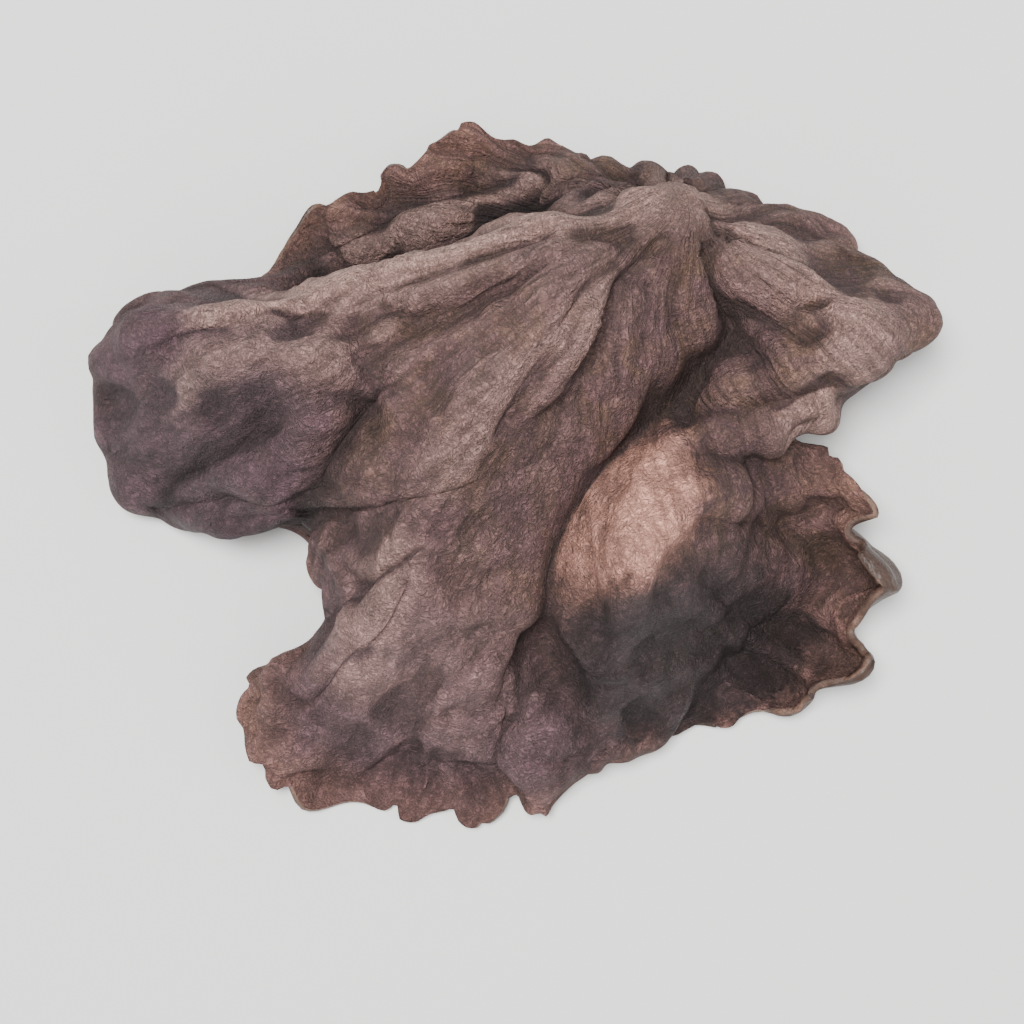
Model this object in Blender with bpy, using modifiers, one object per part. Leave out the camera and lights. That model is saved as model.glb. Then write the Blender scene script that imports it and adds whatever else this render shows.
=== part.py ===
"""A dried wood ear mushroom: one thin, leathery fruit body that crumpled while it dried.

It lies on its rim like a dented cup turned over, with the brown felted face up. +X runs along its
length, +Y towards the foot, which is at the top edge of the cup, and +Z up. Shapes are worked out
in millimetres and written in metres.
"""

import math

import bmesh
import bpy
import numpy as np
from mathutils import Vector, noise
from mathutils.bvhtree import BVHTree

MILLIMETRE = 0.001

# Size of the dried ear
LENGTH = 48.0
WIDTH = 41.0
HEIGHT = 16.0
CROWN = 12.5  # height of the sheet in the middle, before the folds
SHEET = 0.95  # thickness of the dried flesh
FOOT = (7.6, 15.2)  # where it was joined to the wood, seen from above
FOOT_RADIUS = 2.2
FOOT_RISE = 2.8  # how far the foot stands out

# Where it bears on the floor, seen from above, with the lowest part of the rim pressed flatter
BEARINGS = {
    "left lobe": (-20.0, 0.0),
    "lower lobe": (-6.0, -17.0),
    "dark lobe": (14.0, -10.0),
    "beside the foot": (14.0, 15.4),
    "flap": (-7.0, 15.6),
}
BEARING_REACH = 5.0  # how far round each of these places its lowest point may be
BEARING_SPREAD = 7.0  # how far round it the sheet bends to bring that point to the floor
LEVEL_ROUNDS = 6
SETTLE_ROUNDS = 3
PRESSED_BELOW = 1.9  # under this height the rim is pressed to this share of its depth
PRESSED_TO = 0.2
WORN_FLAT = 0.4  # depth of the flat places

# Fineness of the sheet
CELLS = 48  # along each side of its square grid
RIM_SHARE = 0.72  # share of the rings that lie inside the rim line
RIM_SAMPLES = 720
RIM_SMOOTHING = (12, 14)  # samples over which the directions along and out of the rim even out
FOLD_SAMPLES = 28  # points along each fold
CURL_STEPS = 20  # steps of the curl from the rim line to the free edge
UNTANGLE_ROUNDS = 40
SMOOTHING_PASSES = 3

# Around the rim line, anticlockwise from the right: place x and y, height of the rim line, width of
# the margin beyond it, how far that margin turns under in degrees (over if negative), and how full
# the cup is there: 2 is a round slope, 8 a steep wall.
RIM = {
    "notch under the shoulder": (12.6, 1.4, 6.5, 4.0, 40, 2.4),
    "shoulder, lower side": (17.4, 5.4, 6.6, 6.5, 150, 2.6),
    "shoulder tip": (20.0, 9.8, 5.0, 6.5, 175, 2.8),
    "shoulder, upper side": (16.8, 13.8, 3.5, 4.5, 110, 3.6),
    "beside the foot": (12.4, 16.4, 2.8, 4.5, 90, 4.4),
    "behind the foot": (6.4, 18.2, 2.2, 4.0, 30, 5.4),
    "flap, inner end": (0.4, 17.8, 3.0, 4.0, 30, 3.4),
    "flap crest": (-4.6, 16.2, 2.6, 4.2, -20, 2.6),
    "flap corner": (-9.6, 13.6, 2.6, 3.0, -10, 2.2),
    "nick beside the left lobe": (-13.0, 11.2, 3.8, 2.0, 10, 2.4),
    "left lobe, upper corner": (-18.6, 10.4, 3.8, 4.2, 100, 3.0),
    "left lobe, outer side": (-21.6, 5.6, 3.6, 7.0, 200, 2.8),
    "left lobe, lower corner": (-20.4, -0.8, 3.4, 7.0, 190, 2.6),
    "left lobe, lower side": (-15.0, -3.6, 4.6, 4.5, 90, 2.4),
    "cleft": (-10.4, -3.6, 4.8, 2.5, 20, 2.2),
    "lower lobe, neck": (-9.4, -9.6, 4.8, 4.5, 80, 2.4),
    "lower lobe, left corner": (-10.8, -15.0, 2.6, 5.5, -10, 2.2),
    "lower lobe, left of the end": (-5.4, -18.0, 2.0, 5.0, -50, 2.2),
    "lower lobe, right of the end": (2.0, -17.8, 2.2, 5.0, 20, 2.2),
    "lower lobe, right corner": (7.4, -16.2, 3.0, 4.5, 60, 2.4),
    "nick beside the dark lobe": (9.6, -13.6, 3.6, 4.0, -30, 2.4),
    "dark lobe, lower side": (11.8, -11.4, 3.0, 8.5, -150, 2.6),
    "dark lobe, outer side": (13.0, -7.2, 3.2, 9.5, -185, 2.6),
    "dark lobe, upper side": (12.8, -2.6, 4.8, 7.0, -110, 2.6),
}

# Folds, as lines seen from above: points, height (a crease if negative), half width on the left and
# on the right of the line, and how far its edge leans to the left.
FOLDS = {
    "leading ridge": (
        ((8.6, 15.6), (1.0, 13.2), (-6.2, 10.0), (-12.5, 8.2), (-19.5, 7.4), (-24.0, 7.4)),
        4.8, 4.4, 1.0, -1.3,
    ),
    "crease behind it": (
        ((8.0, 18.6), (1.2, 15.8), (-5.4, 12.6), (-10.0, 11.0), (-13.5, 11.0)),
        -6.2, 1.2, 2.4, 0.0,
    ),
    "flap ridge": (
        ((4.5, 18.4), (-1.5, 17.0), (-6.0, 15.2), (-10.5, 13.4)),
        2.6, 1.4, 1.8, 0.0,
    ),
    "dark valley": (
        ((11.0, 12.0), (10.4, 8.0), (7.6, 3.6), (4.2, 0.0), (1.6, -5.5), (1.8, -12.5), (5.0, -18.0)),
        -6.0, 2.2, 2.0, 0.0,
    ),
    "shoulder ridge": (
        ((9.0, 16.6), (13.5, 13.2), (17.4, 9.4), (16.4, 4.8), (12.0, 1.4)),
        2.6, 2.6, 3.0, -0.8,
    ),
    "roll": (
        ((11.5, 0.8), (7.4, -2.2), (5.0, -6.8), (5.2, -13.0)),
        3.4, 2.6, 2.4, 1.2,
    ),
    "left crease": (
        ((-5.0, 5.5), (-8.4, 1.4), (-10.6, -3.2), (-12.2, -8.0)),
        -4.0, 1.8, 1.6, 0.0,
    ),
    "middle ridge": (
        ((6.2, 15.0), (2.4, 8.6), (-2.2, 3.0), (-4.6, -5.0), (-3.0, -15.0)),
        2.4, 3.6, 4.0, 0.0,
    ),
    "left lobe ridge": (
        ((-7.0, 5.6), (-13.0, 5.4), (-19.4, 2.0)),
        2.0, 2.4, 2.6, 0.0,
    ),
    "left lobe crease": (
        ((-10.0, 2.6), (-15.0, 0.6), (-20.5, -2.6)),
        -2.2, 1.6, 1.6, 0.0,
    ),
    "dent between the ridges": (
        ((-8.5, 8.0), (-14.0, 7.2), (-18.0, 6.4)),
        -1.6, 1.5, 1.5, 0.0,
    ),
    "lower lobe crease": (
        ((-1.0, -8.0), (1.0, -13.0), (-0.5, -18.5)),
        -1.8, 1.6, 1.6, 0.0,
    ),
}

FOLD_RADIUS = 0.42  # how tightly the flesh bends along a fold
FOLD_FADE = 0.25  # share of a fold's length over which it fades in and out

FOLD_AT_RIM = 0.65  # share of a fold's height that is left on the rim line
LEAN_AT_RIM = 0.4  # share of its lean that is left there

# Crumpling of the whole sheet: length and height of its waves
CRUMPLE = ((8.5, 1.5), (4.6, 0.8))
CREST_ROUNDING = 0.05
WARP = 0.7  # how far the waves wander, in wave lengths
WARP_FINENESS = 0.8
WARP_SHIFT = (5.0, 1.0, 0.0)  # sets the two ways of wandering apart
MEAN_SIZE = 0.45  # what keeps the waves from lifting the sheet as a whole
NOISE_PEAK = 0.55  # size that the noise seldom passes

# Wrinkles that radiate from the foot
WRINKLE_TURNS = 3.4  # radius of the circle through the noise that makes them
WRINKLE_HEIGHT = 1.6
WRINKLE_STRETCH = 0.06  # how fast they change on the way out, for each millimetre
WRINKLE_START = 6.0  # distance from the foot at which they are full
WRINKLE_FADE = 26.0

# Waves of the margin
RUFFLE_TURNS = 5.2
RUFFLE_HEIGHT = 2.0
RUFFLE_SWAY = 0.8
HEIGHT_START = 0.35  # share of the way to the rim line at which they start
SWAY_START = 0.4
TURN_CHANGE = 50  # degrees by which the margin's turn under varies
TURN_TURNS = 3.4
WIDTH_CHANGE = 0.25  # share by which the margin's width varies
WIDTH_TURNS = 8.0
CURL_TIGHTENING = 1.25  # over 1, the margin curls more tightly towards its edge
INSIDE_RING = 0.9  # ring that shows which way the sheet leaves the rim line
NEXT_PLACE = 0.002  # step along the rim that shows which way it runs

BROWN = (0.17, 0.105, 0.072, 1.0)


def smooth_loop(rows, places):
    """Values at places from 0 to 1 round a closed smooth curve through the rows."""
    rows = np.asarray(rows, float)
    steps = np.linalg.norm(np.roll(rows[:, :2], -1, 0) - rows[:, :2], axis=1)
    knots = np.concatenate([[0.0], np.cumsum(steps)])
    spots = (places % 1.0) * knots[-1]
    here = np.clip(np.searchsorted(knots, spots, side="right") - 1, 0, len(rows) - 1)
    span = steps[here][:, None]
    after = (here + 1) % len(rows)
    slopes = (np.roll(rows, -1, 0) - np.roll(rows, 1, 0)) / (steps + np.roll(steps, 1))[:, None]
    t = (spots - knots[here])[:, None] / span
    return (
        rows[here] * (2 * t**3 - 3 * t**2 + 1)
        + slopes[here] * span * (t**3 - 2 * t**2 + t)
        + rows[after] * (3 * t**2 - 2 * t**3)
        + slopes[after] * span * (t**3 - t**2)
    )


def smooth_line(points):
    """A smooth open curve through a few points in plan."""
    points = np.asarray(points, float)
    ends = np.vstack([2 * points[0] - points[1], points, 2 * points[-1] - points[-2]])
    curve = []
    for step in np.linspace(0, len(points) - 1, FOLD_SAMPLES):
        here = min(int(step), len(points) - 2)
        a, b, c, d = ends[here : here + 4]
        t = step - here
        bend = (2 * a - 5 * b + 4 * c - d) * t**2 + (3 * b - a - 3 * c + d) * t**3
        curve.append(b + ((c - a) * t + bend) / 2)
    return np.array(curve)


def near_line(plan, line):
    """Distance from the line, the side it is on, the way to the left, and the share of the length."""
    best = np.full(len(plan), np.inf)
    side = np.zeros(len(plan))
    share = np.zeros(len(plan))
    left = np.zeros((len(plan), 2))
    for k in range(len(line) - 1):
        step = line[k + 1] - line[k]
        length = np.linalg.norm(step)
        to_point = plan - line[k]
        t = np.clip(to_point @ step / length**2, 0.0, 1.0)
        offset = to_point - t[:, None] * step
        distance = np.linalg.norm(offset, axis=1)
        closer = distance < best
        normal = np.array([-step[1], step[0]]) / length
        best[closer] = distance[closer]
        side[closer] = np.sign(to_point[closer] @ normal)
        share[closer] = (k + t[closer]) / (len(line) - 1)
        left[closer] = normal
    return best, side, left, share


def ease(x):
    x = np.clip(x, 0.0, 1.0)
    return x * x * (3 - 2 * x)


def fold_sheet(plan):
    """Rise and sideways lean of the sheet at each point in plan, summed over the folds."""
    rise = np.zeros(len(plan))
    lean = np.zeros((len(plan), 2))
    for points, height, left_width, right_width, lean_left in FOLDS.values():
        roundness = 2 * abs(height) * FOLD_RADIUS / (left_width + right_width)
        distance, side, left, share = near_line(plan, smooth_line(points))
        width = np.where(side > 0, left_width, right_width)
        rounded = np.sqrt(distance**2 + roundness**2) - roundness
        strength = np.exp(-rounded / width) * ease(share / FOLD_FADE) * ease((1 - share) / FOLD_FADE)
        rise += height * strength
        lean += lean_left * left * strength[:, None]
    return rise, lean


def round_noise(around, turns, offset):
    """Smooth values from about -1 to 1 that vary along the margin and join up all round."""
    spots = np.column_stack([np.cos(math.tau * around), np.sin(math.tau * around)]) * turns
    return np.array([noise.noise(Vector((x, y, offset))) for x, y in spots]) / NOISE_PEAK


def inner_sheet(ring, around):
    """Points of the sheet inside the rim line: ring runs from 0 in the middle to 1 on the line."""
    rim = smooth_loop(list(RIM.values()), around)
    sway_share = ease((ring - SWAY_START) / (1 - SWAY_START))
    sway = RUFFLE_SWAY * round_noise(around, RUFFLE_TURNS, 4.0) * sway_share
    along = smooth_loop(list(RIM.values()), around + NEXT_PLACE)[:, :2] - rim[:, :2]
    along /= np.linalg.norm(along, axis=1)[:, None]
    plan = rim[:, :2] * ring[:, None]
    fall = ring ** rim[:, 5]
    rise, lean = fold_sheet(plan)
    ruffle_share = ease((ring - HEIGHT_START) / (1 - HEIGHT_START))
    ruffle = RUFFLE_HEIGHT * round_noise(around, RUFFLE_TURNS, 0.0) * ruffle_share
    rise *= 1 - (1 - FOLD_AT_RIM) * fall
    lean *= (1 - (1 - LEAN_AT_RIM) * fall)[:, None]
    height = CROWN + (rim[:, 2] - CROWN) * fall + rise + ruffle
    return np.column_stack([plan + lean + along * sway[:, None], height])


def smooth_round(values, spread):
    """Values round the rim averaged with their neighbours, by a bell curve of this many samples."""
    reach = np.arange(-3 * spread, 3 * spread + 1)
    weights = np.exp(-0.5 * (reach / spread) ** 2)
    weights /= weights.sum()
    return sum(w * np.roll(values, k, 0) for w, k in zip(weights, reach))


def unit(vectors):
    return vectors / np.linalg.norm(vectors, axis=1)[:, None]


def rim_frames():
    """The rim line with the directions out of it and up from it, even enough for a clean curl."""
    around = np.arange(RIM_SAMPLES) / RIM_SAMPLES
    line = inner_sheet(np.ones(RIM_SAMPLES), around)
    inside = inner_sheet(np.full(RIM_SAMPLES, INSIDE_RING), around)
    along = unit(smooth_round(np.roll(line, -1, 0) - np.roll(line, 1, 0), RIM_SMOOTHING[0]))
    out = smooth_round(line - inside, RIM_SMOOTHING[1])
    up = unit(np.cross(out, along))
    return line, unit(np.cross(along, up)), up


def margin_sheet(beyond, around):
    """Points of the margin: beyond runs from 0 on the rim line to 1 on the free edge."""
    line, out, up = rim_frames()
    table = np.hstack([line, out, up])
    spot = (around % 1.0) * RIM_SAMPLES
    here = spot.astype(int) % RIM_SAMPLES
    part = (spot - spot.astype(int))[:, None]
    frame = table[here] * (1 - part) + table[(here + 1) % RIM_SAMPLES] * part
    rim = smooth_loop(list(RIM.values()), around)
    turn = np.radians(rim[:, 4] + TURN_CHANGE * round_noise(around, TURN_TURNS, 9.0))
    width = rim[:, 3] * (1 + WIDTH_CHANGE * round_noise(around, WIDTH_TURNS, 12.0))
    points = frame[:, :3].copy()
    for k in range(CURL_STEPS):
        share = beyond * (k + 0.5) / CURL_STEPS
        angle = (turn * share**CURL_TIGHTENING)[:, None]
        way = np.cos(angle) * frame[:, 3:6] - np.sin(angle) * frame[:, 6:9]
        points += way * (width * beyond / CURL_STEPS)[:, None]
    return points


def grid_places(square):
    """Ring and place around for each point of a square from -1 to 1, by its square rings."""
    a, b = square[:, 0], square[:, 1]
    ring = np.maximum(np.abs(a), np.abs(b))
    safe = np.where(ring > 0, ring, 1.0)
    sides = [
        (a >= np.abs(b), b / safe),
        (b >= np.abs(a), 2 - a / safe),
        (-a >= np.abs(b), 4 - b / safe),
        (-b >= np.abs(a), 6 + a / safe),
    ]
    around = np.select([s[0] for s in sides], [s[1] for s in sides]) / 8.0  # a square is 8 round
    return ring, around % 1.0


def sheet_points(square):
    """Points of the middle of the sheet for each point of the square grid."""
    ring, around = grid_places(square)
    inside = ring <= RIM_SHARE
    points = np.empty((len(square), 3))
    points[inside] = inner_sheet(ring[inside] / RIM_SHARE, around[inside])
    points[~inside] = margin_sheet((ring[~inside] - RIM_SHARE) / (1 - RIM_SHARE), around[~inside])
    return points


def crest(spot):
    """Noise folded into sharp crests with broad dips between them."""
    return MEAN_SIZE - math.hypot(noise.noise(spot), CREST_ROUNDING) / NOISE_PEAK


def crumple(point, foot):
    """How far the sheet stands out at a point, from the waves that drying left in it."""
    out = 0.0
    for length, height in CRUMPLE:
        spot = point / length
        coarse = spot * WARP_FINENESS
        wander = (noise.noise(coarse), noise.noise(coarse + Vector(WARP_SHIFT)), length)
        out += height * crest(spot + Vector(wander) * WARP)
    from_foot = (point - foot).xy
    distance = from_foot.length
    if distance > 0:
        across = from_foot / distance * WRINKLE_TURNS
        wrinkle = crest(Vector((across.x, across.y, distance * WRINKLE_STRETCH)))
        fade = min(1.0, distance / WRINKLE_START) * math.exp(-distance / WRINKLE_FADE)
        out += WRINKLE_HEIGHT * wrinkle * fade
    out += FOOT_RISE * math.exp(-(((point - foot).length / FOOT_RADIUS) ** 4))
    return out


def fit_to_size(points):
    """The sheet scaled to the ear's real length, width and height."""
    low, high = points.min(0), points.max(0)
    target = np.array([LENGTH, WIDTH, HEIGHT]) - SHEET
    scaled = (points - (low + high) / 2) * target / (high - low)
    scaled[:, 2] += HEIGHT / 2
    return scaled


def clear_scene():
    for obj in list(bpy.data.objects):
        bpy.data.objects.remove(obj)


def felt_material():
    material = bpy.data.materials.new("felted flesh")
    material.use_nodes = True
    shader = material.node_tree.nodes["Principled BSDF"]
    shader.inputs["Base Color"].default_value = BROWN
    shader.inputs["Roughness"].default_value = 0.8
    shader.inputs["Metallic"].default_value = 0.0
    return material


def crossing_verts(obj, count):
    """Which of the sheet's vertices lie where its thickened faces run through each other."""
    shape = bmesh.new()
    shape.from_object(obj, bpy.context.evaluated_depsgraph_get())
    bmesh.ops.triangulate(shape, faces=shape.faces)
    corners = [{v.index for v in face.verts} for face in shape.faces]
    tree = BVHTree.FromBMesh(shape)
    shape.free()
    found = set()
    for one, other in tree.overlap(tree):
        if one < other and not corners[one] & corners[other]:
            found |= {index % count for index in corners[one] | corners[other]}
    return found


def untangle(obj):
    """Smooths the sheet wherever it would pass through itself, until no such place is left."""
    bpy.context.view_layer.update()
    for step in range(UNTANGLE_ROUNDS):
        crossing = crossing_verts(obj, len(obj.data.vertices))
        if not crossing:
            return
        shape = bmesh.new()
        shape.from_mesh(obj.data)
        shape.verts.ensure_lookup_table()
        region = {shape.verts[index] for index in crossing}
        for _ in range(2 + step // 6):
            region |= {edge.other_vert(vert) for vert in list(region) for edge in vert.link_edges}
        for _ in range(SMOOTHING_PASSES):
            bmesh.ops.smooth_vert(
                shape,
                verts=list(region),
                factor=0.5,
                use_axis_x=True,
                use_axis_y=True,
                use_axis_z=True,
            )
        shape.to_mesh(obj.data)
        shape.free()
        bpy.context.view_layer.update()


def sheet_coords(obj):
    return np.array([v.co for v in obj.data.vertices]) / MILLIMETRE


def place_sheet(obj, coords):
    for vert, place in zip(obj.data.vertices, coords):
        vert.co = Vector(place) * MILLIMETRE
    bpy.context.view_layer.update()


def level(obj):
    """Bends the rim a little until each bearing place is as low as the others."""
    for _ in range(LEVEL_ROUNDS):
        skin = obj.evaluated_get(bpy.context.evaluated_depsgraph_get()).data
        lower = np.array([v.co for v in skin.vertices]) / MILLIMETRE
        sheet = sheet_coords(obj)
        for place in BEARINGS.values():
            near = np.linalg.norm(lower[:, :2] - place, axis=1) < BEARING_REACH
            away = np.linalg.norm(sheet[:, :2] - place, axis=1) / BEARING_SPREAD
            share = np.exp(-(away**2) - np.maximum(sheet[:, 2], 0.0) / HEIGHT)
            sheet[:, 2] -= lower[near, 2].min() * share
        place_sheet(obj, sheet)


def squeeze(obj):
    """Presses what is lowest flatter, as the ear's weight does."""
    sheet = sheet_coords(obj)
    squeezed = PRESSED_BELOW + (sheet[:, 2] - PRESSED_BELOW) * PRESSED_TO
    sheet[:, 2] = np.maximum(sheet[:, 2], squeezed)
    place_sheet(obj, sheet)


def bear_on_floor(obj):
    """Makes the thickened mesh real at the ear's size, with its bearing places worn flat on the floor."""
    mesh = bpy.data.meshes.new_from_object(obj.evaluated_get(bpy.context.evaluated_depsgraph_get()))
    obj.modifiers.clear()
    obj.data = mesh
    coords = np.array([v.co for v in mesh.vertices])
    coords[:, 2] = np.maximum(coords[:, 2], coords[:, 2].min() + WORN_FLAT * MILLIMETRE)
    low, high = coords.min(0), coords.max(0)
    centre = np.array([(low[0] + high[0]) / 2, (low[1] + high[1]) / 2, low[2]])
    coords = (coords - centre) * np.array([LENGTH, WIDTH, HEIGHT]) * MILLIMETRE / (high - low)
    mesh.vertices.foreach_set("co", coords.ravel())
    mesh.update()


def make_sheet(cells):
    shape = bmesh.new()
    bmesh.ops.create_grid(shape, x_segments=cells, y_segments=cells, size=1.0)
    points = sheet_points(np.array([v.co[:2] for v in shape.verts], float))
    foot = Vector(points[np.argmin(np.linalg.norm(points[:, :2] - FOOT, axis=1))])
    for vert, point in zip(shape.verts, points):
        vert.co = Vector(point)
    shape.normal_update()
    moved = [v.co + v.normal * crumple(v.co, foot) for v in shape.verts]
    for vert, place in zip(shape.verts, fit_to_size(np.array(moved))):
        vert.co = Vector(place) * MILLIMETRE
    mesh = bpy.data.meshes.new("ear")
    shape.to_mesh(mesh)
    shape.free()
    return mesh


def make_ear(cells, group):
    ear = bpy.data.objects.new("ear", make_sheet(cells))
    group.objects.link(ear)
    ear.data.materials.append(felt_material())
    flesh = ear.modifiers.new("flesh", "SOLIDIFY")
    flesh.thickness = SHEET * MILLIMETRE
    flesh.offset = 0.0
    untangle(ear)
    level(ear)
    squeeze(ear)
    for _ in range(SETTLE_ROUNDS):
        untangle(ear)
        level(ear)
    untangle(ear)
    bear_on_floor(ear)
    ear.data.shade_smooth()


def main():
    clear_scene()
    group = bpy.data.collections.new("dried wood ear")
    bpy.context.scene.collection.children.link(group)
    make_ear(CELLS, group)


main()
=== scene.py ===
import math

import bmesh
import bpy
import numpy as np
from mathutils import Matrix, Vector, noise
from mathutils.bvhtree import BVHTree


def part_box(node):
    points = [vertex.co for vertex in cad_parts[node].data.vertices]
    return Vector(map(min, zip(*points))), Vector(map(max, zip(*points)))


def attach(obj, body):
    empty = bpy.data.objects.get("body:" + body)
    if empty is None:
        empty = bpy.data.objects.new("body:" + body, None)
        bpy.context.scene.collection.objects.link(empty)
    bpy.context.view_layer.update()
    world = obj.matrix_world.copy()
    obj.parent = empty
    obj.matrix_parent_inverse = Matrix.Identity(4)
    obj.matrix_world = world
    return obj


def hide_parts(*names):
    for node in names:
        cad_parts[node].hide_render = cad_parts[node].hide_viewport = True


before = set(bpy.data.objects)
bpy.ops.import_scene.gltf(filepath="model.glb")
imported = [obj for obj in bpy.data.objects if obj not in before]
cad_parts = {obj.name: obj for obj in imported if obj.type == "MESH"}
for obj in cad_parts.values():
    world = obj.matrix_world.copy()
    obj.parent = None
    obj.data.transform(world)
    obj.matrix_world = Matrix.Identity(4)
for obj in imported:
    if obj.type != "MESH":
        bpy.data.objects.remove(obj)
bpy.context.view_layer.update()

mm = 0.001

# ---- the ear's sheet, in millimetres ----

# Around the rim line, anticlockwise from the right: x, y, height, margin width, how far the margin
# turns under in degrees (over if negative), and how full the cup is there
rim = {
    "notch under the shoulder": (12.6, 1.4, 6.5, 4.0, 40, 2.4),
    "shoulder, lower side": (17.4, 5.4, 6.6, 6.5, 150, 2.6),
    "shoulder tip": (20.0, 9.8, 5.0, 6.5, 175, 2.8),
    "shoulder, upper side": (16.8, 13.8, 3.5, 4.5, 110, 3.6),
    "beside the foot": (12.4, 16.4, 2.8, 4.5, 90, 4.4),
    "behind the foot": (6.4, 18.2, 2.2, 4.0, 30, 5.4),
    "flap, inner end": (0.4, 17.8, 3.0, 4.0, 30, 3.4),
    "flap crest": (-4.6, 16.2, 2.6, 4.2, -20, 2.6),
    "flap corner": (-9.6, 13.6, 2.6, 3.0, -10, 2.2),
    "nick beside the left lobe": (-13.0, 11.2, 3.8, 2.0, 10, 2.4),
    "left lobe, upper corner": (-18.6, 10.4, 3.8, 4.2, 100, 3.0),
    "left lobe, outer side": (-21.6, 5.6, 3.6, 7.0, 200, 2.8),
    "left lobe, lower corner": (-20.4, -0.8, 3.4, 7.0, 190, 2.6),
    "left lobe, lower side": (-15.0, -3.6, 4.6, 4.5, 90, 2.4),
    "cleft": (-10.4, -3.6, 4.8, 2.5, 20, 2.2),
    "lower lobe, neck": (-9.4, -9.6, 4.8, 4.5, 80, 2.4),
    "lower lobe, left corner": (-10.8, -15.0, 2.6, 5.5, -10, 2.2),
    "lower lobe, left of the end": (-5.4, -18.0, 2.0, 5.0, -50, 2.2),
    "lower lobe, right of the end": (2.0, -17.8, 2.2, 5.0, 20, 2.2),
    "lower lobe, right corner": (7.4, -16.2, 3.0, 4.5, 60, 2.4),
    "nick beside the dark lobe": (9.6, -13.6, 3.6, 4.0, -30, 2.4),
    "dark lobe, lower side": (11.8, -11.4, 3.0, 8.5, -150, 2.6),
    "dark lobe, outer side": (13.0, -7.2, 3.2, 9.5, -185, 2.6),
    "dark lobe, upper side": (12.8, -2.6, 4.8, 7.0, -110, 2.6),
}

# Folds seen from above: points, height (a crease if negative), half width left and right, lean left
folds = {
    "leading ridge": (
        ((8.6, 15.6), (1.0, 13.2), (-6.2, 10.0), (-12.5, 8.2), (-19.5, 7.4), (-24.0, 7.4)),
        4.8, 4.4, 1.0, -1.3,
    ),
    "crease behind it": (
        ((8.0, 18.6), (1.2, 15.8), (-5.4, 12.6), (-10.0, 11.0), (-13.5, 11.0)),
        -6.2, 1.2, 2.4, 0.0,
    ),
    "flap ridge": (
        ((4.5, 18.4), (-1.5, 17.0), (-6.0, 15.2), (-10.5, 13.4)),
        2.6, 1.4, 1.8, 0.0,
    ),
    "dark valley": (
        ((11.0, 12.0), (10.4, 8.0), (7.6, 3.6), (4.2, 0.0), (1.6, -5.5), (1.8, -12.5), (5.0, -18.0)),
        -6.0, 2.2, 2.0, 0.0,
    ),
    "shoulder ridge": (
        ((9.0, 16.6), (13.5, 13.2), (17.4, 9.4), (16.4, 4.8), (12.0, 1.4)),
        2.6, 2.6, 3.0, -0.8,
    ),
    "roll": (
        ((11.5, 0.8), (7.4, -2.2), (5.0, -6.8), (5.2, -13.0)),
        3.4, 2.6, 2.4, 1.2,
    ),
    "left crease": (
        ((-5.0, 5.5), (-8.4, 1.4), (-10.6, -3.2), (-12.2, -8.0)),
        -4.0, 1.8, 1.6, 0.0,
    ),
    "middle ridge": (
        ((6.2, 15.0), (2.4, 8.6), (-2.2, 3.0), (-4.6, -5.0), (-3.0, -15.0)),
        2.4, 3.6, 4.0, 0.0,
    ),
    "left lobe ridge": (
        ((-7.0, 5.6), (-13.0, 5.4), (-19.4, 2.0)),
        2.0, 2.4, 2.6, 0.0,
    ),
    "left lobe crease": (
        ((-10.0, 2.6), (-15.0, 0.6), (-20.5, -2.6)),
        -2.2, 1.6, 1.6, 0.0,
    ),
    "dent between the ridges": (
        ((-8.5, 8.0), (-14.0, 7.2), (-18.0, 6.4)),
        -1.6, 1.5, 1.5, 0.0,
    ),
    "lower lobe crease": (
        ((-1.0, -8.0), (1.0, -13.0), (-0.5, -18.5)),
        -1.8, 1.6, 1.6, 0.0,
    ),
}

ear = {
    "crown": 12.5,
    "sheet": 0.95,
    "foot": (7.6, 15.2),
    "footRadius": 2.2,
    "footRise": 2.8,
    "cells": 48,
    "rimShare": 0.72,
    "rimSamples": 720,
    "rimSmoothing": (12, 14),
    "foldSamples": 28,
    "curlSteps": 20,
    "foldRadius": 0.42,
    "foldFade": 0.25,
    "foldAtRim": 0.65,
    "leanAtRim": 0.4,
    "crumple": ((8.5, 1.5), (4.6, 0.8)),
    "crestRounding": 0.05,
    "wrinkleTurns": 3.4,
    "wrinkleHeight": 1.6,
    "ruffleTurns": 5.2,
    "ruffleHeight": 2.0,
    "ruffleSway": 0.8,
    "turnChange": 50,
    "widthChange": 0.25,
    "bearings": ((-20.0, 0.0), (-6.0, -17.0), (14.0, -10.0), (14.0, 15.4), (-7.0, 15.6)),
    "bearingReach": 5.0,
    "bearingSpread": 7.0,
    "pressedBelow": 1.9,
    "pressedTo": 0.2,
}

noisePeak = 0.55  # Blender's noise seldom goes past this


def smoothLoop(places):
    rows = np.asarray(list(rim.values()), float)
    steps = np.linalg.norm(np.roll(rows[:, :2], -1, 0) - rows[:, :2], axis=1)
    knots = np.concatenate([[0.0], np.cumsum(steps)])
    spots = (places % 1.0) * knots[-1]
    here = np.clip(np.searchsorted(knots, spots, side="right") - 1, 0, len(rows) - 1)
    span = steps[here][:, None]
    after = (here + 1) % len(rows)
    slopes = (np.roll(rows, -1, 0) - np.roll(rows, 1, 0)) / (steps + np.roll(steps, 1))[:, None]
    t = (spots - knots[here])[:, None] / span
    return (
        rows[here] * (2 * t**3 - 3 * t**2 + 1)
        + slopes[here] * span * (t**3 - 2 * t**2 + t)
        + rows[after] * (3 * t**2 - 2 * t**3)
        + slopes[after] * span * (t**3 - t**2)
    )


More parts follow.
